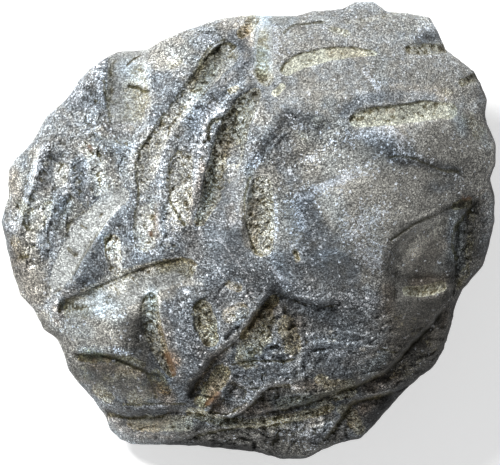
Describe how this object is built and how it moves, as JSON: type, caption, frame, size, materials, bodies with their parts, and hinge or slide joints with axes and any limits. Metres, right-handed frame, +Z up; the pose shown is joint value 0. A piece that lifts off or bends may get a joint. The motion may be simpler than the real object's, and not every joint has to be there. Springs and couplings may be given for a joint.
{
  "type": "bored stromatopore fossil",
  "caption": "Domed lump of fossil sponge in grey limestone, cut by long oval worm borings with pale fill, with ledged growth layers at the front and a flat underside to rest on.",
  "frame": {"origin": "middle of the stone's plan box, on the flat underside", "axes": "+X along the longest extent, to the right seen from above; +Y to the back; +Z up, through the dome"},
  "size_m": [0.1759, 0.1633, 0.0846],
  "materials": {
    "limestone": "rough weathered grey limestone, smooth blue-grey to brown-grey fossil skin with white specks, cream to chalky rough fill in the borings, a few rust stains"
  },
  "bodies": {
    "root": {"bored_stromatopore": "limestone"}
  },
  "joints": []
}
